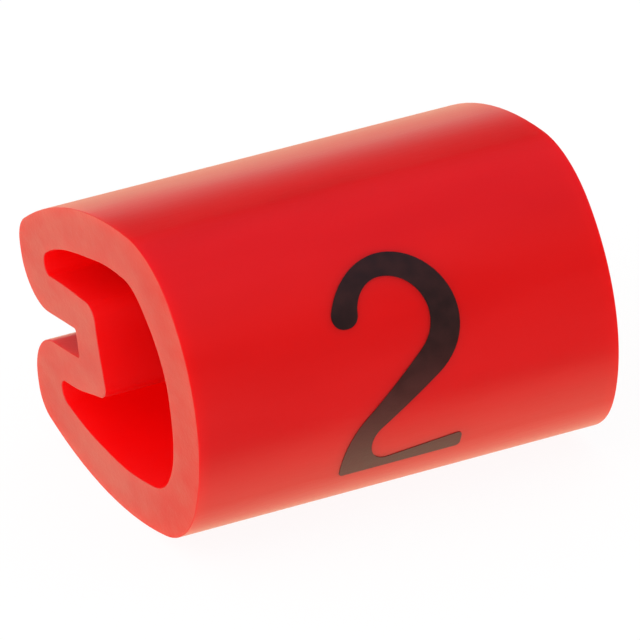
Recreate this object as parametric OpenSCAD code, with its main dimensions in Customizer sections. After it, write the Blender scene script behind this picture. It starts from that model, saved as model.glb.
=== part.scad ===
// Slip-on cable marker: one soft extruded sleeve. Its back is folded inwards, so that the hollow
// wraps round the fold and the sleeve springs open to grip wires of several sizes.
// It lies on one side, its length along X, with the marked face to the front (-Y).

/* [Sleeve] */
// Length along the wire, from cut to cut
sleeve_length = 6.5; // [3:0.1:15]
// Width across the widest part
sleeve_width = 4.5; // [4:0.05:6]
// Depth from the feet at the back to the crown of the marked face
sleeve_depth = 5.6; // [4.6:0.05:8]
// Distance from the feet to the widest part
widest_level = 3.3; // [2.6:0.05:3.9]

/* [Walls] */
// Wall behind the marked face
face_wall = 0.88; // [0.5:0.02:1.4]
// Wall at each side
side_wall = 0.69; // [0.45:0.01:0.8]
// Wall between each pocket of the hollow and the feet
foot_wall = 0.86; // [0.5:0.02:1.3]
// Wall at each side of the fold, between slot and pocket
fold_wall = 0.53; // [0.3:0.01:0.6]
// Wall between the end of the slot and the hollow
fold_floor = 0.74; // [0.4:0.02:1.5]

/* [Slot] */
// Width of the slot that the fold leaves open at the back
slot_width = 0.44; // [0.2:0.02:0.6]
// Depth of the slot from the feet
slot_depth = 1.66; // [1:0.02:2.2]

/* [Rounding] */
// How much the face's radius exceeds half of the sleeve's width
face_ease = 0.5; // [0.2:0.05:2]
// How much the radius of the hollow's crown exceeds half of its width
bore_ease = 0.31; // [0.1:0.01:1.5]
// Radius of the bowed sides
side_radius = 6.6; // [5:0.1:10]
// Radius between the face and each side
shoulder_radius = 1.6; // [0.6:0.05:1.8]
// Radius between the hollow's crown and each side of it
bore_shoulder_radius = 0.72; // [0.3:0.02:1.1]
// Radius between each foot and its side
foot_radius = 0.5; // [0.3:0.02:0.7]
// Radius at which the slot opens towards the feet
mouth_radius = 0.74; // [0.2:0.02:0.8]
// Radius in the corners at the end of each pocket
pocket_radius = 0.21; // [0.1:0.01:0.25]
// Radius on the two corners of the fold inside the hollow
fold_radius = 0.22; // [0.05:0.01:0.4]

/* [Rest] */
// Roll about the sleeve's length at which it lies still on its bowed side, in degrees
rest_roll = 7.6; // [0:0.2:15]

/* [Hidden] */
$fn = 96;

// Overshoot of a cutting shape past the surface that it cuts
spill = 0.1;

bore_width = sleeve_width - 2 * side_wall;
bore_top = sleeve_depth - face_wall;
fold_width = slot_width + 2 * fold_wall;
fold_top = slot_depth + fold_floor;

face_radius = sleeve_width / 2 + face_ease;
bore_radius = bore_width / 2 + bore_ease;
bore_side_radius = side_radius - side_wall;

// Tips of the arcs at the feet and at the outer ends of the pockets
foot_tip = base_tip(sleeve_width, 0, side_radius, foot_radius);
pocket_tip = base_tip(bore_width, foot_wall, bore_side_radius, pocket_radius);

// A mouth or pocket corner takes no more than the flat stretch beside it
mouth_arc = min(mouth_radius, foot_tip.x - slot_width / 2);
pocket_arc = min(pocket_radius, pocket_tip.x - fold_width / 2);

// Place of the rolled section: lowest point on the floor, front and back equally far from the origin
rest_height = side_radius - (side_radius - sleeve_width / 2) * cos(rest_roll) - widest_level * sin(rest_roll);
front_reach = (sleeve_depth - face_radius) * cos(rest_roll) + face_radius;
back_reach = foot_tip.x * sin(rest_roll) - foot_tip.y * cos(rest_roll) + foot_radius;
rest_shift = (front_reach - back_reach) / 2;

sleeve_red = [0.84, 0.1, 0.11];

// Centre of a bowed side, which is widest at the shared level
function side_centre(width, radius) = [width / 2 - radius, widest_level];

// Centre of an arc that touches a bowed side from inside and stands on a straight base
function base_tip(width, base, radius, arc) =
    let (side = side_centre(width, radius))
    [side.x + sqrt(pow(radius - arc, 2) - pow(base + arc - side.y, 2)), base + arc];

// Point at given distances from two centres, on the right of the way from the first to the second
function meeting_point(first, first_distance, second, second_distance) =
    let (
        gap = norm(second - first),
        way = (second - first) / gap,
        along = (pow(first_distance, 2) - pow(second_distance, 2) + pow(gap, 2)) / (2 * gap),
        aside = sqrt(pow(first_distance, 2) - pow(along, 2))
    )
    first + along * way + aside * [way.y, -way.x];

// Direction from one point to another, in degrees
function bearing(from, to) = atan2(to.y - from.y, to.x - from.x);

function direction(angle) = [cos(angle), sin(angle)];

// A corner is the tip of its arc, its radius, and the bearings at which the arc starts and ends
function corner(tip, radius, start, end) = [tip, radius, direction(start), direction(end)];

module both_sides() {
    children();
    mirror([1, 0]) children();
}

// Kite from an arc's tip to just past the sharp corner that the arc replaces
module corner_kite(item) {
    reach = item[1] + spill;
    square_off = (item[2] + item[3]) / (1 + item[2] * item[3]);
    translate(item[0]) polygon(reach * [[0, 0], item[2], square_off, item[3]]);
}

// A shape with its sharp corners, on both sides, cut back to arcs
module rounded(corners) {
    difference() {
        children();
        both_sides() for (item = corners) difference() {
            corner_kite(item);
            translate(item[0]) circle(item[1]);
        }
    }
}

// Closed outline of crown, shoulders, bowed sides and feet on a straight base
module crowned_outline(width, top, base, crown_radius, shoulder_arc, side_arc, foot_arc) {
    crown = [0, top - crown_radius];
    side = side_centre(width, side_arc);
    shoulder = meeting_point(crown, crown_radius - shoulder_arc, side, side_arc - shoulder_arc);
    foot = base_tip(width, base, side_arc, foot_arc);
    rounded([
        corner(shoulder, shoulder_arc, bearing(crown, shoulder), bearing(side, shoulder)),
        corner(foot, foot_arc, bearing(side, foot), -90)
    ]) intersection() {
        translate(side) circle(side_arc);
        mirror([1, 0]) translate(side) circle(side_arc);
        translate([-width, base]) square([2 * width, top - base + spill]);
        union() {
            translate(crown) circle(crown_radius);
            translate([-width, base - spill]) square([2 * width, crown.y - base + spill]);
        }
    }
}

// Outer outline with the slot at the back
module slotted_outline() {
    mouth_tip = [slot_width / 2 + mouth_arc, mouth_arc];
    rounded([corner(mouth_tip, mouth_arc, 180, -90)]) difference() {
        crowned_outline(sleeve_width, sleeve_depth, 0, face_radius, shoulder_radius, side_radius, foot_radius);
        translate([-slot_width / 2, -spill]) square([slot_width, slot_depth + spill]);
    }
}

// The fold as it stands in the hollow
module fold_block() {
    tip = [fold_width / 2 - fold_radius, fold_top - fold_radius];
    rounded([corner(tip, fold_radius, 0, 90)])
        translate([-fold_width / 2, foot_wall - spill]) square([fold_width, fold_top - foot_wall + spill]);
}

// Hollow for the wire, with a pocket on each side of the fold
module hollow() {
    tip = [fold_width / 2 + pocket_arc, foot_wall + pocket_arc];
    rounded([corner(tip, pocket_arc, 180, -90)]) difference() {
        crowned_outline(bore_width, bore_top, foot_wall, bore_radius, bore_shoulder_radius,
            bore_side_radius, pocket_radius);
        fold_block();
    }
}

// Section across the wire, feet on the X axis and marked face towards +Y
module section() {
    difference() {
        slotted_outline();
        hollow();
    }
}

module marker_sleeve() {
    color(sleeve_red)
    translate([0, rest_shift, rest_height])
    rotate([-rest_roll, 0, 0])
    rotate([0, -90, 180])
    linear_extrude(sleeve_length, center = true) section();
}

marker_sleeve();
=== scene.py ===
# %% [markdown]
# A slip-on cable marker: a short sleeve cut from soft red PVC tube with a folded back, and a black
# numeral printed on its rounded face. The CAD model gives the frame: its size, its place and its
# one body. This lesson models the sleeve and the ink again as clean meshes, then gives them their
# finish, light and camera.

# %% Load the frame
from math import acos, atan2, ceil, cos, degrees, pi, radians, sin, sqrt, tan

import bmesh
import bpy
from mathutils import Matrix, Vector


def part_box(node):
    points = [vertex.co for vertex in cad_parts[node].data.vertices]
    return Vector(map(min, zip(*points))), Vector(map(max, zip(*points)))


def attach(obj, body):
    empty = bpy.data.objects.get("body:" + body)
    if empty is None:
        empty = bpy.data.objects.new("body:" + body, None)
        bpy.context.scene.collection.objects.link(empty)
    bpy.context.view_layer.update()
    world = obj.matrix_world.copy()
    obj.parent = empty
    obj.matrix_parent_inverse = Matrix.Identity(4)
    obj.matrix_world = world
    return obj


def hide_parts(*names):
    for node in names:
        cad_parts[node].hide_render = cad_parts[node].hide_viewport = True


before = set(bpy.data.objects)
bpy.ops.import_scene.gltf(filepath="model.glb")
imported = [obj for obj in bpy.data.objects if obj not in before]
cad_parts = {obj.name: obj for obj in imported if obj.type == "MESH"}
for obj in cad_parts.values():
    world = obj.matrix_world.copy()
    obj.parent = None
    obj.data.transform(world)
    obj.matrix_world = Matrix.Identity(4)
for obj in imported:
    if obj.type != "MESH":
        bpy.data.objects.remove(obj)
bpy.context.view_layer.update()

MM = 0.001
low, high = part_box("marker_sleeve")
print("nodes", list(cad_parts), "box in mm", [round((b - a) / MM, 3) for a, b in zip(low, high)])

# %% [markdown]
# The sleeve is an extruded profile: the same section all along the wire. The sizes are those of the
# CAD model, in millimetres. They describe half of the section, because its two halves are mirror
# images, with u across the sleeve from its middle and v from the feet at the back to the face.
# We work in millimetres with the section upright, and lay the pieces in the frame only at the end:
# merging and bevelling tools are set for sizes near one, not for thousandths.

# %% Sizes of the section in millimetres
SLEEVE_LENGTH = (high[0] - low[0]) / MM
SLEEVE_WIDTH = 4.5
SLEEVE_DEPTH = 5.6
WIDEST_LEVEL = 3.3
FACE_WALL = 0.88
SIDE_WALL = 0.69
FOOT_WALL = 0.86
FOLD_WALL = 0.53
FOLD_FLOOR = 0.74
SLOT_WIDTH = 0.44
SLOT_DEPTH = 1.66

HOLLOW_WIDTH = SLEEVE_WIDTH - 2 * SIDE_WALL
HOLLOW_TOP = SLEEVE_DEPTH - FACE_WALL
FOLD_WIDTH = SLOT_WIDTH + 2 * FOLD_WALL
FOLD_TOP = SLOT_DEPTH + FOLD_FLOOR
print("hollow", round(HOLLOW_WIDTH, 2), "wide, fold", round(FOLD_WIDTH, 2), "wide")

# %% [markdown]
# An outline of arcs and straight stretches can be drawn in Edit mode with one vertex: Spin drags it
# round a centre, and Extrude drags it straight on. Each leaves the new end selected, ready for the
# next stretch, so the section grows like a line from a pen. A curve object would do as well, but the
# pen gives the same number of points on each stretch of two outlines, and they can then be bridged.
# Spin turns against the right-hand rule here, so each sheet names the axis that turns clockwise.

# %% A pen that draws with Spin and Extrude
class Sheet:
    """A flat drawing: where its points lie in space, and the axis about which Spin turns clockwise."""

    def __init__(self, place, clockwise):
        self.place = place
        self.clockwise = clockwise

    def start(self, right, up):
        """A lone vertex: a plane merged to its middle."""
        bpy.ops.mesh.primitive_plane_add(size=1, location=self.place(right, up))
        bpy.ops.mesh.merge(type="CENTER")

    def pen(self):
        """Where the pen stands: at the selected vertex."""
        points = bmesh.from_edit_mesh(bpy.context.object.data).verts
        return next(point.co.copy() for point in points if point.select)

    def turn(self, centre, angle, steps):
        """An arc about a centre, clockwise in degrees."""
        bpy.ops.mesh.spin(steps=steps, angle=radians(angle), center=self.place(*centre),
                          axis=self.clockwise)

    def line(self, right, up, steps=1):
        """A straight stretch to a point."""
        stride = (Vector(self.place(right, up)) - self.pen()) / steps
        for _ in range(steps):
            bpy.ops.mesh.extrude_region_move(TRANSFORM_OT_translate={"value": stride})


def new_drawing(name):
    """An empty mesh in Edit mode, with nothing else selected."""
    bpy.ops.object.select_all(action="DESELECT")
    bpy.ops.mesh.primitive_plane_add(size=1)
    piece = bpy.context.object
    piece.name = name
    piece.data.name = name
    bpy.ops.object.mode_set(mode="EDIT")
    bpy.ops.mesh.delete(type="VERT")
    return piece


end_sheet = Sheet(lambda u, v: (-SLEEVE_LENGTH / 2, -v, u), (1, 0, 0))
print("pen ready, drawing on the plane x =", end_sheet.place(0, 0)[0])

# %% [markdown]
# The outer outline and the hollow's outline follow the same list of stretches: a crown, a shoulder,
# a bowed side, a foot, a flat, a turn inwards, a straight wall, a last corner and a short floor. So
# one function draws both, and a stretch has the same number of edges in both. Each arc touches the
# next, so their centres follow from the radii.

# %% Half an outline as a chain of arcs
STRETCHES = {"crown": 14, "shoulder": 14, "side": 14, "foot": 10, "flat": 2, "lip": 12, "wall": 6,
             "corner": 6, "floor": 2}


def bearing(start, end):
    """Direction from one point to another, in degrees counter-clockwise from the right."""
    return degrees(atan2(end[1] - start[1], end[0] - start[0]))


def meeting_point(first, first_distance, second, second_distance):
    """The point at given distances from two centres, on the right of the way between them."""
    way = Vector(second) - Vector(first)
    gap = way.length
    way.normalize()
    along = (first_distance ** 2 - second_distance ** 2 + gap ** 2) / (2 * gap)
    aside = sqrt(first_distance ** 2 - along ** 2)
    return Vector(first) + along * way + aside * Vector((way.y, -way.x))


def half_outline(width, top, base, crown_radius, shoulder_radius, side_radius, foot_radius,
                 lip, lip_radius, floor_level, corner_radius):
    """Draw the right half of an outline, from the middle of its crown to the middle of its floor."""
    crown = Vector((0, top - crown_radius))
    side = Vector((width / 2 - side_radius, WIDEST_LEVEL))
    shoulder = meeting_point(crown, crown_radius - shoulder_radius, side, side_radius - shoulder_radius)
    foot_level = base + foot_radius
    foot_reach = sqrt((side_radius - foot_radius) ** 2 - (foot_level - side.y) ** 2)
    foot = side + Vector((foot_reach, foot_level - side.y))

    end_sheet.start(0, top)
    end_sheet.turn(crown, 90 - bearing(crown, shoulder), STRETCHES["crown"])
    end_sheet.turn(shoulder, bearing(crown, shoulder) - bearing(side, shoulder), STRETCHES["shoulder"])
    end_sheet.turn(side, bearing(side, shoulder) - bearing(side, foot), STRETCHES["side"])
    end_sheet.turn(foot, bearing(side, foot) + 90, STRETCHES["foot"])
    end_sheet.line(lip + lip_radius, base, STRETCHES["flat"])
    end_sheet.turn((lip + lip_radius, base + lip_radius), 90, STRETCHES["lip"])
    end_sheet.line(lip, floor_level - corner_radius, STRETCHES["wall"])
    end_sheet.turn((lip - corner_radius, floor_level - corner_radius), -90, STRETCHES["corner"])
    end_sheet.line(0, floor_level, STRETCHES["floor"])


print("edges in half an outline", sum(STRETCHES.values()))

# %% [markdown]
# On the outside the crown is the printed face, the turn inwards is the mouth of the slot, and the
# floor is the slot's end. In the hollow the same stretches make the wall behind the face, the pocket
# beside the fold, and the fold itself. Only the radii and levels differ, and they could be typed in
# by hand for each arc, but named radii say what they belong to.

# %% Draw half of both outlines
SIDE_RADIUS = 6.6
FACE_EASE = 0.5
SHOULDER_RADIUS = 1.6
FOOT_RADIUS = 0.5
MOUTH_RADIUS = 0.74
SLOT_CORNER_RADIUS = 0.05
HOLLOW_EASE = 0.31
HOLLOW_SHOULDER_RADIUS = 0.72
POCKET_RADIUS = 0.21
POCKET_CORNER_RADIUS = 0.14
FOLD_RADIUS = 0.22
FACE_RADIUS = SLEEVE_WIDTH / 2 + FACE_EASE
HOLLOW_RADIUS = HOLLOW_WIDTH / 2 + HOLLOW_EASE

sleeve = new_drawing("sleeve")
half_outline(SLEEVE_WIDTH, SLEEVE_DEPTH, 0, crown_radius=FACE_RADIUS, shoulder_radius=SHOULDER_RADIUS,
             side_radius=SIDE_RADIUS, foot_radius=FOOT_RADIUS, lip=SLOT_WIDTH / 2,
             lip_radius=MOUTH_RADIUS, floor_level=SLOT_DEPTH, corner_radius=SLOT_CORNER_RADIUS)
print("outside ends at", [round(c, 3) for c in end_sheet.pen()])
half_outline(HOLLOW_WIDTH, HOLLOW_TOP, FOOT_WALL, crown_radius=HOLLOW_RADIUS,
             shoulder_radius=HOLLOW_SHOULDER_RADIUS, side_radius=SIDE_RADIUS - SIDE_WALL,
             foot_radius=POCKET_RADIUS, lip=FOLD_WIDTH / 2, lip_radius=POCKET_CORNER_RADIUS,
             floor_level=FOLD_TOP, corner_radius=FOLD_RADIUS)
print("hollow ends at", [round(c, 3) for c in end_sheet.pen()])

# %% [markdown]
# Bridging the two lines makes half of the cut end, and extruding that makes half of the sleeve. The
# faces that extruding leaves on the mirror plane are taken off again, because they would stand as
# walls inside the finished plastic.

# %% Bridge and extrude half of the sleeve
MERGE_DISTANCE = 1e-4


def select_faces(piece, wanted):
    """Select the faces that pass a test, in Edit mode."""
    bpy.ops.mesh.select_mode(type="FACE")
    bpy.ops.mesh.select_all(action="DESELECT")
    mesh = bmesh.from_edit_mesh(piece.data)
    chosen = [face for face in mesh.faces if wanted(face)]
    for face in chosen:
        face.select_set(True)
    bmesh.update_edit_mesh(piece.data)
    return len(chosen)


bpy.ops.mesh.select_all(action="SELECT")
bpy.ops.mesh.bridge_edge_loops()
bpy.ops.mesh.select_all(action="SELECT")
bpy.ops.mesh.extrude_region_move(TRANSFORM_OT_translate={"value": (SLEEVE_LENGTH, 0, 0)})
on_mirror = select_faces(sleeve, lambda face: abs(face.calc_center_median().z) < MERGE_DISTANCE)
bpy.ops.mesh.delete(type="ONLY_FACE")
bpy.ops.mesh.select_mode(type="VERT")
bpy.ops.object.mode_set(mode="OBJECT")
print("faces taken off the mirror plane", on_mirror)

# %% [markdown]
# A Mirror modifier makes the other half. Mirroring turns faces round, so the doubles are merged and
# the normals are set outwards afterwards.

# %% Mirror the other half
def apply_modifier(piece, kind, **settings):
    """Add a modifier with its settings and apply it at once."""
    bpy.context.view_layer.objects.active = piece
    modifier = piece.modifiers.new(kind.title(), kind)
    for setting, value in settings.items():
        setattr(modifier, setting, value)
    bpy.ops.object.modifier_apply(modifier=modifier.name)


apply_modifier(sleeve, "MIRROR", use_axis=(False, False, True), use_clip=True,
               merge_threshold=MERGE_DISTANCE)
bpy.ops.object.mode_set(mode="EDIT")
bpy.ops.mesh.select_all(action="SELECT")
bpy.ops.mesh.remove_doubles(threshold=MERGE_DISTANCE)
bpy.ops.mesh.normals_make_consistent(inside=False)
bpy.ops.object.mode_set(mode="OBJECT")
print("sleeve", len(sleeve.data.vertices), "points", len(sleeve.data.polygons), "faces")

# %% [markdown]
# Soft plastic never leaves the die quite as it was drawn, and on this sleeve the hollow shows it. To
# pull at the hollow alone, all other walls are hidden first. Its faces could be picked by their place,
# but Select Linked Flat Faces needs only a few at the crown: it runs on as far as the wall is smooth.

# %% Show only the wall of the hollow
SMOOTH_STEP = radians(20)
CROWN_STRIP = 0.1


def select_wall(piece, spot, strip):
    """Select the faces near a spot and the wall that runs on smoothly from them, in Edit mode."""
    select_faces(piece, lambda face: (face.calc_center_median() - Vector(spot)).length < strip)
    bpy.ops.mesh.faces_select_linked_flat(sharpness=SMOOTH_STEP)


bpy.ops.object.mode_set(mode="EDIT")
select_wall(sleeve, (0, -HOLLOW_TOP, 0), CROWN_STRIP)
bpy.ops.mesh.hide(unselected=True)
print("faces on the wall of the hollow", sleeve.data.total_face_sel)

# %% [markdown]
# One pocket of the hollow stands wider open than the other, the fold has drawn back on one side, and
# the crown leans. Sculpting could do that, but proportional editing says it in four pulls: one point
# at each end is drawn a tenth of a millimetre, and its neighbours follow, less and less with their
# distance. Spots and pulls are given across the section and towards the face.

# %% Pull the hollow a little out of true
HOLLOW_PULLS = [
    {"spot": (1.2, 1.2), "pull": (0.09, -0.05), "reach": 1.5},
    {"spot": (-0.7, 2.35), "pull": (0.115, 0.075), "reach": 1.0},
    {"spot": (-1.3, 4.2), "pull": (0.02, 0.145), "reach": 1.4},
    {"spot": (1.3, 4.2), "pull": (-0.05, -0.06), "reach": 1.4},
]


def select_points(piece, u, v):
    """Select the visible point nearest to a place of the section, at each end."""
    bpy.ops.mesh.select_mode(type="VERT")
    bpy.ops.mesh.select_all(action="DESELECT")
    mesh = bmesh.from_edit_mesh(piece.data)
    shown = [point for point in mesh.verts if not point.hide]
    for end in (-1, 1):
        spot = Vector((end * SLEEVE_LENGTH / 2, -v, u))
        min(shown, key=lambda point: (point.co - spot).length).select_set(True)
    bmesh.update_edit_mesh(piece.data)


for item in HOLLOW_PULLS:
    select_points(sleeve, *item["spot"])
    across, outwards = item["pull"]
    bpy.ops.transform.translate(value=(0, -outwards, across), use_proportional_edit=True,
                                proportional_edit_falloff="SMOOTH", proportional_size=item["reach"])
    print("pulled to", [round(c, 2) for c in end_sheet.pen()])
bpy.ops.mesh.reveal(select=False)
bpy.ops.object.mode_set(mode="OBJECT")

# %% [markdown]
# A knife cuts the soft tube to length, and it never goes through quite square: both cuts lean a
# degree or so, their upper edges to the left. Each end is turned about its own middle for that. With
# no window Rotate turns against the right-hand rule, so the printed places of the rims are worth a look.

# %% Lean the two cuts
END_FACING = 0.999
CUT_LEAN = {-1: radians(0.75), 1: radians(1.8)}
bpy.ops.object.mode_set(mode="EDIT")
for end, lean in CUT_LEAN.items():
    select_faces(sleeve, lambda face: face.normal.x * end > END_FACING)
    bpy.ops.transform.rotate(value=lean, orient_axis="Y",
                             center_override=(end * SLEEVE_LENGTH / 2, -SLEEVE_DEPTH / 2, 0))
bpy.ops.mesh.select_mode(type="VERT")
bpy.ops.object.mode_set(mode="OBJECT")
for end in CUT_LEAN:
    rim = max((point.co for point in sleeve.data.vertices if point.co.x * end > 0), key=lambda co: co.z)
    print("upper rim at x =", round(rim.x, 3))

# %% [markdown]
# The rims of the cuts are nearly sharp, but no real edge is perfectly so, and it catches a thread of
# light: a narrow bevel on the rims, picked out by their angle, gives that. Weighted normals then keep
# the flat ends and long walls even, and leave all the turning to the bevel.

# %% Ease the rims of the two cuts
RIM_ANGLE = radians(60)
RIM_EASE = 0.015
RIM_STEPS = 3
SHADE_ANGLE = radians(40)
LARGE_FACE_WEIGHT = 80
bpy.ops.object.mode_set(mode="EDIT")
bpy.ops.mesh.select_mode(type="EDGE")
bpy.ops.mesh.select_all(action="DESELECT")
bpy.ops.mesh.edges_select_sharp(sharpness=RIM_ANGLE)
bpy.ops.mesh.bevel(offset=RIM_EASE, segments=RIM_STEPS, affect="EDGES")
bpy.ops.mesh.select_mode(type="VERT")
bpy.ops.object.mode_set(mode="OBJECT")
bpy.ops.object.shade_smooth_by_angle(angle=SHADE_ANGLE)
apply_modifier(sleeve, "WEIGHTED_NORMAL", mode="FACE_AREA", weight=LARGE_FACE_WEIGHT, keep_sharp=True)
print("sleeve with eased rims", len(sleeve.data.polygons), "faces")

# %% [markdown]
# The numeral is a film of black ink, pressed on the face by a printing wheel. Text from a font would
# be quicker, but the marker's plain drawing-office figure has a round bowl, a swelling stroke and a
# thin foot, so it is drawn with the same pen on a sheet in front of the face. Its bends are arcs, each
# with a centre, as x along the sleeve and u across it, and a radius. The last list says how many edges
# each stretch of the outline gets.

# %% Sizes of the numeral in millimetres
BOWL_OUTER, BOWL_OUTER_RADIUS = (-0.105, 0.535), 0.978
BOWL_INNER, BOWL_INNER_RADIUS = (-0.18, 0.61), 0.62
HOOK_INNER, HOOK_INNER_RADIUS = (-0.18, 0.79), 0.44
HOOK_END, HOOK_ROUND = 0.675, 0.18
HEEL_INNER, HEEL_INNER_RADIUS = (-0.24, -1.165), 0.33
CROTCH_RADIUS = 0.25
FOOT_BASE, FOOT_END, FOOT_ROUND = -1.56, 0.855, 0.065
FOOT_SLOPE = 5.0
HEEL_OUTER, HEEL_OUTER_RADIUS = (0.065, FOOT_BASE + FOOT_ROUND), 1.09
NUMERAL_STRETCHES = {"bowl": 36, "stroke": 8, "heel": 10, "crotch": 10, "foot": 8, "corner": 5,
                     "base": 10, "heel_back": 14, "bowl_inside": 20, "hook_inside": 14, "tip": 8}
NUMERAL_HEIGHT = BOWL_OUTER[1] + BOWL_OUTER_RADIUS - FOOT_BASE
print("numeral", round(NUMERAL_HEIGHT, 2), "high")

# %% [markdown]
# The pen starts at the tip of the hook, goes over the bowl and comes down the outer side of the
# slanting stroke into the bend above the foot. That straight stretch has to touch the bowl and the
# bend: the bearing of the spoke where it leaves the bowl follows from both radii and the gap between
# the centres, and the spoke where it arrives points the other way.

# %% From the hook over the bowl and down the stroke
FACE_CLEARANCE = 0.4


def slant(first, first_radius, second, second_radius):
    """Bearing of the spoke at which a line leaves a clockwise arc to reach a counter-clockwise one."""
    gap = (Vector(second) - Vector(first)).length
    return bearing(first, second) + degrees(acos((first_radius + second_radius) / gap))


def on_circle(centre, radius, angle):
    """The point of a circle on a spoke of a given bearing."""
    return (centre[0] + radius * cos(radians(angle)), centre[1] + radius * sin(radians(angle)))


face_sheet = Sheet(lambda x, u: (x, -SLEEVE_DEPTH - FACE_CLEARANCE, u), (0, -1, 0))
numeral = new_drawing("numeral")
hook_tip_up = HOOK_END + HOOK_ROUND
hook_tip_reach = sqrt((BOWL_OUTER_RADIUS - HOOK_ROUND) ** 2 - (hook_tip_up - BOWL_OUTER[1]) ** 2)
hook_tip = (BOWL_OUTER[0] - hook_tip_reach, hook_tip_up)
hook_bearing = bearing(BOWL_OUTER, hook_tip)
outer_spoke = slant(BOWL_OUTER, BOWL_OUTER_RADIUS, HEEL_INNER, HEEL_INNER_RADIUS)

face_sheet.start(*on_circle(hook_tip, HOOK_ROUND, hook_bearing))
face_sheet.turn(BOWL_OUTER, hook_bearing - outer_spoke, NUMERAL_STRETCHES["bowl"])
face_sheet.line(*on_circle(HEEL_INNER, HEEL_INNER_RADIUS, outer_spoke + 180), NUMERAL_STRETCHES["stroke"])
face_sheet.turn(HEEL_INNER, outer_spoke, NUMERAL_STRETCHES["heel"])
print("stroke comes down to", [round(c, 3) for c in face_sheet.pen()])

# %% [markdown]
# The foot is a thin bar that grows a little thicker towards its end. A small arc fills the crotch
# between stroke and foot, and the corners of the bar are rounded, as ink rounds them when it spreads.

# %% Round the crotch and along the foot
crotch = (HEEL_INNER[0] - HEEL_INNER_RADIUS + CROTCH_RADIUS, HEEL_INNER[1])
face_sheet.turn(crotch, -90 - FOOT_SLOPE, NUMERAL_STRETCHES["crotch"])
foot_start = face_sheet.pen()
foot_run = FOOT_END - FOOT_ROUND - foot_start.x
foot_top = foot_start.z + foot_run * tan(radians(FOOT_SLOPE))
face_sheet.line(FOOT_END - FOOT_ROUND, foot_top, NUMERAL_STRETCHES["foot"])
foot_corner = on_circle((FOOT_END - FOOT_ROUND, foot_top), FOOT_ROUND, FOOT_SLOPE - 90)
face_sheet.turn(foot_corner, 90 + FOOT_SLOPE, NUMERAL_STRETCHES["corner"])
face_sheet.line(face_sheet.pen().x, FOOT_BASE + FOOT_ROUND)
face_sheet.turn((face_sheet.pen().x - FOOT_ROUND, FOOT_BASE + FOOT_ROUND), 90, NUMERAL_STRETCHES["corner"])
print("foot ends at", [round(c, 3) for c in face_sheet.pen()])

# %% [markdown]
# The way back runs along the base and up the inner side of the stroke, whose straight stretch leaves
# the outer bend of the heel and arrives at the inside of the bowl. A tighter arc goes on from there
# round the inside of the hook, and the hook ends in a round tip, where the outline closes.

# %% Back along the base and up to the hook
heel_edge = HEEL_OUTER[0] - HEEL_OUTER_RADIUS
heel_spoke = slant(HEEL_OUTER, HEEL_OUTER_RADIUS, BOWL_INNER, BOWL_INNER_RADIUS)
inner_reach = sqrt((HOOK_INNER_RADIUS + HOOK_ROUND) ** 2 - (hook_tip_up - HOOK_INNER[1]) ** 2)
inner_tip = (HOOK_INNER[0] - inner_reach, hook_tip_up)
inner_spoke = bearing(HOOK_INNER, inner_tip) % 360

face_sheet.line(heel_edge + FOOT_ROUND, FOOT_BASE, NUMERAL_STRETCHES["base"])
face_sheet.turn((heel_edge + FOOT_ROUND, FOOT_BASE + FOOT_ROUND), 90, NUMERAL_STRETCHES["corner"])
face_sheet.turn(HEEL_OUTER, 180 - heel_spoke, NUMERAL_STRETCHES["heel_back"])
face_sheet.line(*on_circle(BOWL_INNER, BOWL_INNER_RADIUS, heel_spoke + 180), NUMERAL_STRETCHES["stroke"])
face_sheet.turn(BOWL_INNER, heel_spoke - 270, NUMERAL_STRETCHES["bowl_inside"])
face_sheet.turn(HOOK_INNER, 90 - inner_spoke, NUMERAL_STRETCHES["hook_inside"])
face_sheet.turn(inner_tip, inner_spoke - 90, NUMERAL_STRETCHES["tip"])
face_sheet.line(hook_tip[0], HOOK_END)
face_sheet.turn(hook_tip, 270 - hook_bearing, NUMERAL_STRETCHES["tip"])
print("outline closes at", [round(c, 3) for c in face_sheet.pen()])

# %% [markdown]
# The outline becomes one face. It has to bend round the face of the sleeve, and a face with points
# only at its edge can't, so it is cut across in close steps and then into triangles.

# %% Fill the numeral and cut it across
CUT_SPACING = 0.1
CUT_SNAP = 1e-5
bpy.ops.mesh.select_all(action="SELECT")
bpy.ops.mesh.remove_doubles(threshold=MERGE_DISTANCE)
bpy.ops.mesh.edge_face_add()
for cut in range(ceil(NUMERAL_HEIGHT / CUT_SPACING)):
    level = FOOT_BASE + (cut + 0.5) * CUT_SPACING
    bpy.ops.mesh.select_all(action="SELECT")
    bpy.ops.mesh.bisect(plane_co=(0, 0, level), plane_no=(0, 0, 1), threshold=CUT_SNAP)
bpy.ops.mesh.select_all(action="SELECT")
bpy.ops.mesh.quads_convert_to_tris(quad_method="BEAUTY", ngon_method="BEAUTY")

# A filled face may look either way, and the ink looks to the front
if sum(face.normal.y for face in bmesh.from_edit_mesh(numeral.data).faces) > 0:
    bpy.ops.mesh.flip_normals()
bpy.ops.object.mode_set(mode="OBJECT")
print("numeral", len(numeral.data.polygons), "triangles")

# %% [markdown]
# The film follows the plastic. Shrinkwrap throws each point straight back on the wall, and Solidify
# gives the ink its thickness, about a hundredth of a millimetre, a third of it soaked in. A picture on
# the wall would look alike, but as a mesh the numeral keeps crisp edges at any distance.

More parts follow.
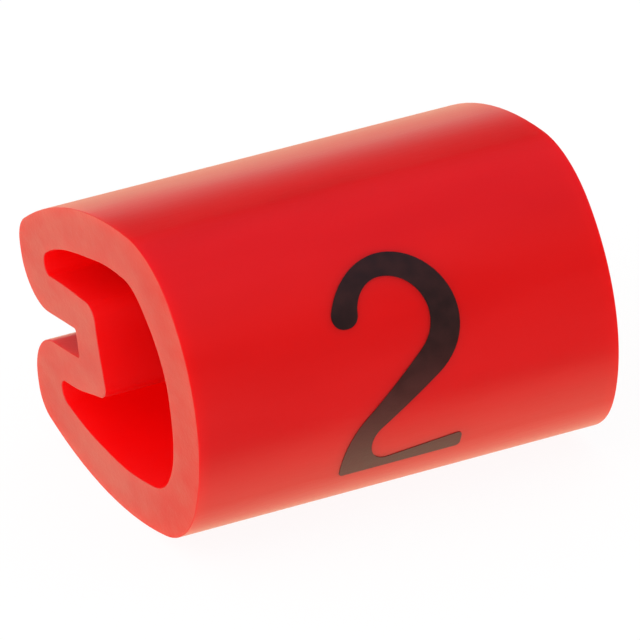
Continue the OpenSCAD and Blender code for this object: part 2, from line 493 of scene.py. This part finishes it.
# %% Lay the ink on the face
INK_HEIGHT = 0.008
INK_SOAK = 0.004
apply_modifier(numeral, "SHRINKWRAP", target=sleeve, wrap_method="PROJECT", use_project_y=True,
               use_positive_direction=True, use_negative_direction=False)
apply_modifier(numeral, "SOLIDIFY", thickness=INK_HEIGHT + INK_SOAK,
               offset=1 - 2 * INK_SOAK / (INK_HEIGHT + INK_SOAK), use_even_offset=True)
bpy.ops.object.select_all(action="DESELECT")
numeral.select_set(True)
bpy.ops.object.shade_smooth_by_angle(angle=SHADE_ANGLE)
print("film of ink", len(numeral.data.polygons), "faces")

# %% [markdown]
# Both pieces now go to their place in the frame. The sleeve lies on one bowed side, so it is rolled
# a little about its length, set on the floor and brought from millimetres to metres. The floor touches
# the arc of that side, and the front of the CAD box touches the arc of the face: height and shift
# follow from the centres of these arcs. Applying the transform leaves both objects at the origin with
# their place in the mesh, as the CAD nodes have it.

# %% Lay the pieces in the frame
REST_ROLL = radians(7.6)
side_centre = SIDE_RADIUS - SLEEVE_WIDTH / 2
rest_height = SIDE_RADIUS - side_centre * cos(REST_ROLL) - WIDEST_LEVEL * sin(REST_ROLL)
front_reach = (SLEEVE_DEPTH - FACE_RADIUS) * cos(REST_ROLL) + FACE_RADIUS
rest_shift = front_reach + low[1] / MM


def in_frame(u, v):
    """The place in the frame of a point of the section, half way along the sleeve."""
    across = Vector((0, sin(REST_ROLL), cos(REST_ROLL)))
    outwards = Vector((0, -cos(REST_ROLL), sin(REST_ROLL)))
    return (Vector((0, rest_shift, rest_height)) + u * across + v * outwards) * MM


for piece in (sleeve, numeral):
    bpy.ops.object.select_all(action="DESELECT")
    piece.select_set(True)
    bpy.context.view_layer.objects.active = piece
    piece.rotation_euler = (-REST_ROLL, 0, 0)
    piece.location = (0, rest_shift * MM, rest_height * MM)
    piece.scale = (MM, MM, MM)
    bpy.ops.object.transform_apply(location=True, rotation=True, scale=True)
    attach(piece, "root")
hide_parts("marker_sleeve")
print("shift", round(rest_shift, 4), "height", round(rest_height, 4))

# %% [markdown]
# No extruded, cut or printed surface is quite even. One shared effect gives all four finishes their
# small unevenness: broad patches for the colour and the gloss, and a fine grain for the bump. It is a
# node group, so that each material can set its own scales, and it only puts out values.

# %% Build the shared mottle
PATCH_EDGES = (0.25, 0.75)


def add_node(tree, kind, **settings):
    """A node with its properties and its unlinked inputs set by name."""
    node = tree.nodes.new(kind)
    for name, value in settings.items():
        if name in node.inputs:
            node.inputs[name].default_value = value
        else:
            setattr(node, name, value)
    return node


def link(tree, source, target):
    """Lead an output to an input."""
    tree.links.new(source, target)


def ramp(tree, value, start, end, first_level, last_level):
    """A smooth change from one level to another between two values."""
    limits = {"From Min": start, "From Max": end, "To Min": first_level, "To Max": last_level}
    node = add_node(tree, "ShaderNodeMapRange", interpolation_type="SMOOTHSTEP", **limits)
    link(tree, value, node.inputs["Value"])
    return node.outputs["Result"]


def build_mottle():
    """A node group of two noises, both with scales that the material sets."""
    group = bpy.data.node_groups.new("mottle", "ShaderNodeTree")
    group.interface.new_socket("Place", in_out="INPUT", socket_type="NodeSocketVector")
    for name in ("Patch Scale", "Grain Scale"):
        group.interface.new_socket(name, in_out="INPUT", socket_type="NodeSocketFloat")
    for name in ("Patches", "Grain"):
        group.interface.new_socket(name, in_out="OUTPUT", socket_type="NodeSocketFloat")
    entry = add_node(group, "NodeGroupInput")
    leave = add_node(group, "NodeGroupOutput")
    patches = add_node(group, "ShaderNodeTexNoise", Detail=2.0, Roughness=0.55)
    grain = add_node(group, "ShaderNodeTexNoise", Detail=4.0, Roughness=0.6)
    for noise, scale in ((patches, "Patch Scale"), (grain, "Grain Scale")):
        link(group, entry.outputs["Place"], noise.inputs["Vector"])
        link(group, entry.outputs[scale], noise.inputs["Scale"])
    link(group, ramp(group, patches.outputs["Fac"], *PATCH_EDGES, 0, 1), leave.inputs["Patches"])
    link(group, grain.outputs["Fac"], leave.inputs["Grain"])
    return group


mottle = build_mottle()
outputs = [item.name for item in mottle.interface.items_tree if item.in_out == "OUTPUT"]
print("group", mottle.name, "puts out", outputs)

# %% [markdown]
# Each finish is then a Principled shader with two close colours, two close roughnesses and a bump,
# all led by the mottle. What is the same all over, such as the subsurface light, is set on the shader
# itself. A Mapping node stretches the pattern: along the sleeve for the faint drawn lines of an
# extrusion, and along the knife's way on the cut. The first finish is the smooth skin of the tube.
# Light goes a little way into soft PVC, so its colour comes from just below the surface.

# %% A finish from two colours and the mottle
PLASTIC_IOR = 1.5
BUMP_HEIGHT = 0.02
FADE_SHARE = 0.8


def calculate(tree, operation, *values):
    """A Math node on sockets or numbers."""
    node = add_node(tree, "ShaderNodeMath", operation=operation)
    for socket, value in zip(node.inputs, values):
        if isinstance(value, (int, float)):
            socket.default_value = value
        else:
            link(tree, value, socket)
    return node.outputs["Value"]


def mix_colours(tree, first, second, share):
    """A colour that goes from a first one to a second one with a share from 0 to 1."""
    node = add_node(tree, "ShaderNodeMix", data_type="RGBA")
    ends = [socket for socket in node.inputs if socket.type == "RGBA"]
    for socket, colour in zip(ends, (first, second)):
        socket.default_value = (*colour, 1)
    link(tree, share, node.inputs["Factor"])
    return next(socket for socket in node.outputs if socket.type == "RGBA")


def make_finish(name, colours, roughness, patch_size, grain_size, stretch, bump, fade=None, **constant):
    """A material whose colour and roughness wander between two values, with a fine bump.

    With a fade, it is mostly the fade that brings in the second colour.
    """
    finish = bpy.data.materials.new(name)
    finish.use_nodes = True
    tree = finish.node_tree
    shader = tree.nodes["Principled BSDF"]
    shader.inputs["IOR"].default_value = PLASTIC_IOR
    for socket, value in constant.items():
        shader.inputs[socket.replace("_", " ")].default_value = value

    place = add_node(tree, "ShaderNodeTexCoord").outputs["Object"]
    mapping = add_node(tree, "ShaderNodeMapping", Scale=stretch)
    scales = {"Patch Scale": 1 / (patch_size * MM), "Grain Scale": 1 / (grain_size * MM)}
    pattern = add_node(tree, "ShaderNodeGroup", node_tree=mottle, **scales)
    gloss = add_node(tree, "ShaderNodeMapRange", **{"To Min": roughness[0], "To Max": roughness[1]})
    relief = add_node(tree, "ShaderNodeBump", Strength=bump, Distance=BUMP_HEIGHT * MM)

    link(tree, place, mapping.inputs["Vector"])
    link(tree, mapping.outputs["Vector"], pattern.inputs["Place"])
    share = pattern.outputs["Patches"]
    if fade:
        share = calculate(tree, "MULTIPLY_ADD", share, 1 - FADE_SHARE, fade(tree, place))
    link(tree, mix_colours(tree, *colours, share), shader.inputs["Base Color"])
    link(tree, pattern.outputs["Patches"], gloss.inputs["Value"])
    link(tree, gloss.outputs["Result"], shader.inputs["Roughness"])
    link(tree, pattern.outputs["Grain"], relief.inputs["Height"])
    link(tree, relief.outputs["Normal"], shader.inputs["Normal"])
    return finish


red_pvc = make_finish("red_pvc", colours=((0.735, 0.0002, 0.0006), (0.775, 0.0006, 0.001)),
                      roughness=(0.28, 0.32), patch_size=0.9, grain_size=0.06, stretch=(0.25, 1, 1),
                      bump=0.1, Subsurface_Weight=1.0, Subsurface_Radius=(1.0, 0.08, 0.06),
                      Subsurface_Scale=0.3 * MM)
print("finish", red_pvc.name, "with", len(red_pvc.node_tree.nodes), "nodes")

# %% [markdown]
# Two finishes change slowly over the piece. The film of ink is painted lighter and redder towards the foot
# of the
#  numeral: partly the red showing through a thinner film, partly a painted sheen for the glare on the
#      lower face. The cut is painted paler round the fold and deeper towards the face, a painted sheen.
# Painted vertex colours could hold that, but the place itself is enough: a height for the ink, and for
# the cut a distance from the middle of its pale part, measured across the sleeve only.

# %% Two fades over the piece
CUT_MIDDLE = in_frame(0.2, 2.2)


def by_height(top, bottom):
    """A share that grows from nothing at one height to most at a lower one, in millimetres."""
    def share(tree, place):
        height = add_node(tree, "ShaderNodeSeparateXYZ")
        link(tree, place, height.inputs["Vector"])
        return ramp(tree, height.outputs["Z"], bottom * MM, top * MM, FADE_SHARE, 0)
    return share


def by_distance(middle, near, far):
    """A share that grows from nothing near a point of the section to most far from it."""
    def share(tree, place):
        flat = add_node(tree, "ShaderNodeVectorMath", operation="MULTIPLY")
        flat.inputs[1].default_value = (0, 1, 1)
        link(tree, place, flat.inputs[0])
        away = add_node(tree, "ShaderNodeVectorMath", operation="DISTANCE")
        away.inputs[1].default_value = middle
        link(tree, flat.outputs["Vector"], away.inputs[0])
        return ramp(tree, away.outputs["Value"], near * MM, far * MM, 0, FADE_SHARE)
    return share


# Painted sheen: the ink turns lighter and redder towards the foot, partly for the glare on the lower face
thin_ink_and_sheen = by_height(top=3.2, bottom=1.3)
# Painted sheen: the cut turns paler round the fold and deeper red towards the face
cut_painted_sheen = by_distance(CUT_MIDDLE, near=2.0, far=3.2)
print("cut is palest round", [round(c / MM, 2) for c in CUT_MIDDLE], "mm")

# %% [markdown]
# The other finishes differ from the skin in a few values. The wall of the hollow is painted lighter than
# the skin, and light wanders far under it: a painted glow, for the light that comes through the soft
# plastic. The cut ends are matt and grained, and painted paler, a painted sheen for the glare on the rough
# cut. The ink is black with a touch of the red below.

# %% The hollow, the cuts and the ink
# Painted glow: the hollow's wall is a lighter copy of the skin, for the light that comes through the
# plastic
inner_pvc_painted_glow = make_finish("inner_pvc_painted_glow", colours=((0.96, 0.001, 0.002), (0.98, 0.002, 0.003)),
                        roughness=(0.4, 0.46), patch_size=0.9, grain_size=0.06, stretch=(0.25, 1, 1),
                        bump=0.1, Subsurface_Weight=1.0, Subsurface_Radius=(1.0, 0.05, 0.05),
                        Subsurface_Scale=4.0 * MM)
# Painted sheen: the pale salmon colour of the cut stands in for glare on the rough cut
cut_pvc = make_finish("cut_pvc", colours=((0.635, 0.046, 0.036), (0.67, 0.001, 0.001)),
                      roughness=(0.36, 0.5), patch_size=0.5, grain_size=0.05, stretch=(1, 0.6, 1),
                      bump=0.25, fade=cut_painted_sheen, Specular_IOR_Level=0.4, Subsurface_Weight=1.0,
                      Subsurface_Radius=(1.0, 0.1, 0.08), Subsurface_Scale=0.6 * MM)
black_ink = make_finish("black_ink", colours=((0.025, 0.008, 0.008), (0.13, 0.016, 0.012)),
                        roughness=(0.36, 0.46), patch_size=0.25, grain_size=0.04, stretch=(1, 1, 1),
                        bump=0.15, fade=thin_ink_and_sheen)
print("finishes", [finish.name for finish in (red_pvc, inner_pvc_painted_glow, cut_pvc, black_ink)])

# %% [markdown]
# The walls keep the skin of the tube, and it is the first material, so they need no picking. The two
# cut ends, with most of their eased rims, are picked out by their normals, and the hollow's wall by
# Select Linked Flat Faces, as before.

# %% Dress the pieces
RIM_FACING = 0.5
for material in (red_pvc, inner_pvc_painted_glow, cut_pvc):
    sleeve.data.materials.append(material)
numeral.data.materials.append(black_ink)


def dress_selected(piece, material):
    """Give the faces selected in Edit mode one of the piece's materials."""
    piece.active_material_index = piece.data.materials.find(material.name)
    bpy.ops.object.material_slot_assign()


bpy.ops.object.select_all(action="DESELECT")
sleeve.select_set(True)
bpy.context.view_layer.objects.active = sleeve
bpy.ops.object.mode_set(mode="EDIT")
select_faces(sleeve, lambda face: abs(face.normal.x) > RIM_FACING)
dress_selected(sleeve, cut_pvc)
select_wall(sleeve, in_frame(0, HOLLOW_TOP), CROWN_STRIP * MM)
dress_selected(sleeve, inner_pvc_painted_glow)
bpy.ops.mesh.select_mode(type="VERT")
bpy.ops.object.mode_set(mode="OBJECT")
for slot, material in enumerate(sleeve.data.materials):
    print(material.name, "on", sum(face.material_index == slot for face in sleeve.data.polygons), "faces")

# %% [markdown]
# The marker lies on a light table: a white floor that glows under and behind the marker and fades
# towards the viewer. The camera sees all of it white, with the marker's faint shadow. What a glossy
# wall mirrors is the glow itself, so the underside and the cut end turn pale, as on the real plastic,
# and the front stays deep red. Lamps below the floor could do that too, but Light Path keeps what is
# mirrored apart from what is seen.

# %% Glow of the floor
GLOW_FRONT = (-6.0 * MM, -2.6 * MM)
GLOW_BACK = (2 * MM, 40 * MM)
FRONT_LEVEL = 0.03
FULL_LEVEL = 1.15
BACK_SHARE = 0.95
SEEN_TINT = (1.03, 1.03, 1.03)
GLOW_TINT = (1.0, 0.93, 0.63)


def mirror_rays(tree, path):
    """One for rays that come from a gloss or through glass, else zero."""
    return calculate(tree, "MAXIMUM", path.outputs["Is Glossy Ray"], path.outputs["Is Transmission Ray"])


def if_mirrored(tree, mirrored, mirror_level, plain_level):
    """One level for mirror rays and another for all other rays."""
    change = calculate(tree, "SUBTRACT", mirror_level, plain_level)
    return calculate(tree, "ADD", calculate(tree, "MULTIPLY", mirrored, change), plain_level)


paint = bpy.data.materials.new("floor_white")
paint.use_nodes = True
tree = paint.node_tree
tree.nodes.clear()
place = add_node(tree, "ShaderNodeSeparateXYZ")
link(tree, add_node(tree, "ShaderNodeTexCoord").outputs["Object"], place.inputs["Vector"])
path = add_node(tree, "ShaderNodeLightPath")
mirrored = mirror_rays(tree, path)
front_glow = ramp(tree, place.outputs["Y"], *GLOW_FRONT, FRONT_LEVEL, FULL_LEVEL)
back_glow = ramp(tree, place.outputs["Y"], *GLOW_BACK, 1, BACK_SHARE)
glow_level = calculate(tree, "MULTIPLY", front_glow, back_glow)
glow = add_node(tree, "ShaderNodeEmission")
link(tree, mix_colours(tree, SEEN_TINT, GLOW_TINT, mirrored), glow.inputs["Color"])
link(tree, if_mirrored(tree, mirrored, glow_level, 1), glow.inputs["Strength"])
print("glow from y =", GLOW_FRONT[0], "to", GLOW_BACK[1])

# %% [markdown]
# Under the glow the floor is matt white, and that share takes the shadow. To the camera a tenth of the
# floor is matt, so the shadow stays faint. To all other rays it is glow alone.

# %% Floor
FLOOR_WIDTH = 0.8
FLOOR_WHITE = (0.86, 0.86, 0.86, 1)
OWN_LIGHT = 1.0
SEEN_LIGHT = 0.9
seen = calculate(tree, "MULTIPLY_ADD", path.outputs["Is Camera Ray"], SEEN_LIGHT - OWN_LIGHT, OWN_LIGHT)
matt = add_node(tree, "ShaderNodeBsdfDiffuse", Color=FLOOR_WHITE)
blend = add_node(tree, "ShaderNodeMixShader")
surface = add_node(tree, "ShaderNodeOutputMaterial")
link(tree, calculate(tree, "MAXIMUM", seen, mirrored), blend.inputs[0])
link(tree, matt.outputs["BSDF"], blend.inputs[1])
link(tree, glow.outputs["Emission"], blend.inputs[2])
link(tree, blend.outputs["Shader"], surface.inputs["Surface"])

bpy.ops.object.select_all(action="DESELECT")
bpy.ops.mesh.primitive_plane_add(size=FLOOR_WIDTH)
floor = bpy.context.object
floor.name = "floor"
floor.data.materials.append(paint)
print("floor", FLOOR_WIDTH, "m wide")

# %% [markdown]
# Soft light from all round shows colour best, so the sky of this little studio is an even dome, a
# little brighter overhead. The camera sees it white. A gloss mirrors another room: dark, with a bright
# backdrop low behind the table and a dim, bluish ceiling, which cools the red of the upper face.

# %% Sky
DOME_LEVEL = 0.68
OVERHEAD_LEVEL = 0.88
DOME_RISE = (0.1, 0.9)
ROOM_LEVEL = 0.03
BACKDROP_LEVEL = 0.93
BACKDROP_FALL = (0.0, 0.23)
BACKDROP_SIDE = (-0.3, 0.5)
CEILING_LEVEL = 0.28
CEILING_RISE = (0.25, 0.85)
CEILING_TINT = (0.5, 0.55, 1.0)
WHITE = (1, 1, 1)

world = bpy.data.worlds.new("studio")
bpy.context.scene.world = world
world.use_nodes = True
tree = world.node_tree
tree.nodes.clear()
way = add_node(tree, "ShaderNodeSeparateXYZ")
link(tree, add_node(tree, "ShaderNodeTexCoord").outputs["Generated"], way.inputs["Vector"])
path = add_node(tree, "ShaderNodeLightPath")
mirrored = mirror_rays(tree, path)
lowness = ramp(tree, way.outputs["Z"], *BACKDROP_FALL, BACKDROP_LEVEL, 0)
behind = ramp(tree, way.outputs["Y"], *BACKDROP_SIDE, 0, 1)
ceiling = ramp(tree, way.outputs["Z"], *CEILING_RISE, 0, 1)
dim_room = calculate(tree, "MULTIPLY_ADD", ceiling, CEILING_LEVEL - ROOM_LEVEL, ROOM_LEVEL)
room = calculate(tree, "MULTIPLY_ADD", lowness, behind, dim_room)
dome = ramp(tree, way.outputs["Z"], *DOME_RISE, DOME_LEVEL, OVERHEAD_LEVEL)
lit = calculate(tree, "MAXIMUM", path.outputs["Is Camera Ray"], dome)
blueness = calculate(tree, "MULTIPLY", mirrored, ceiling)
background = add_node(tree, "ShaderNodeBackground")
sky = add_node(tree, "ShaderNodeOutputWorld")
link(tree, mix_colours(tree, WHITE, CEILING_TINT, blueness), background.inputs["Color"])
link(tree, if_mirrored(tree, mirrored, room, lit), background.inputs["Strength"])
link(tree, background.outputs["Background"], sky.inputs["Surface"])
print("sky", world.name, "with", len(tree.nodes), "nodes")

# %% [markdown]
# One large soft lamp on the left brightens the cut end and shines into the hollow. A small one would
# do for the brightness, but it would throw hard shadows from the fold. Lengths are in millimetres, and
# the power follows from how bright the lamp shall be at the marker.

# %% Lamp
def back_vector(azimuth, elevation):
    """Unit vector from the object towards a viewer or lamp, azimuth 0 in front, in degrees."""
    turn, lift = radians(azimuth), radians(elevation)
    return Vector((sin(turn) * cos(lift), -cos(turn) * cos(lift), sin(lift)))


def soft_lamp(name, azimuth, elevation, distance, size, share):
    """A square lamp aimed at the marker, as bright there as a share of a white dome."""
    light = bpy.data.lights.new(name, "AREA")
    light.size = size * MM
    light.energy = share * (pi * distance * MM) ** 2
    lamp = bpy.data.objects.new(name, light)
    bpy.context.scene.collection.objects.link(lamp)
    towards_lamp = back_vector(azimuth, elevation)
    lamp.location = towards_lamp * distance * MM + Vector((0, 0, high[2] / 2))
    lamp.rotation_euler = towards_lamp.to_track_quat("Z", "Y").to_euler()
    return lamp


left_lamp = soft_lamp("left_lamp", azimuth=-75, elevation=35, distance=80, size=60, share=0.3)
print("lamp", left_lamp.name, round(left_lamp.data.energy, 4), "W")

# %% [markdown]
# The camera is a long lens far from the marker, as in a catalogue picture: it looks from the left of
# the face and from above, and it is held a little aslant. It aims some pixels below the middle of the
# sleeve, and the lens is chosen so that a millimetre there takes up a given number of pixels.

# %% Camera
VIEW_AZIMUTH = -25.0
VIEW_ELEVATION = 26.4
VIEW_ROLL = radians(-3.0)
VIEW_DISTANCE = 135 * MM
FRAME_PIXELS = 640
PIXELS_PER_MM = 71.2
PIXELS_BELOW_MIDDLE = 9.5
SENSOR_WIDTH = 36.0

back = back_vector(VIEW_AZIMUTH, VIEW_ELEVATION)
level_right = Vector((cos(radians(VIEW_AZIMUTH)), sin(radians(VIEW_AZIMUTH)), 0))
level_up = back.cross(level_right)
right = cos(VIEW_ROLL) * level_right + sin(VIEW_ROLL) * level_up
up = cos(VIEW_ROLL) * level_up - sin(VIEW_ROLL) * level_right

aim = in_frame(0, SLEEVE_DEPTH / 2) - up * (PIXELS_BELOW_MIDDLE / PIXELS_PER_MM) * MM
camera_data = bpy.data.cameras.new("camera")
camera_data.sensor_width = SENSOR_WIDTH
camera_data.lens = SENSOR_WIDTH * PIXELS_PER_MM / MM * VIEW_DISTANCE / FRAME_PIXELS
camera_data.clip_start = MM
camera = bpy.data.objects.new("camera", camera_data)
bpy.context.scene.collection.objects.link(camera)
turned = Matrix((right, up, back)).transposed().to_4x4()
camera.matrix_world = Matrix.Translation(aim + back * VIEW_DISTANCE) @ turned
bpy.context.scene.camera = camera
bpy.context.scene.view_settings.view_transform = "Standard"
print("lens", round(camera_data.lens, 1), "mm")
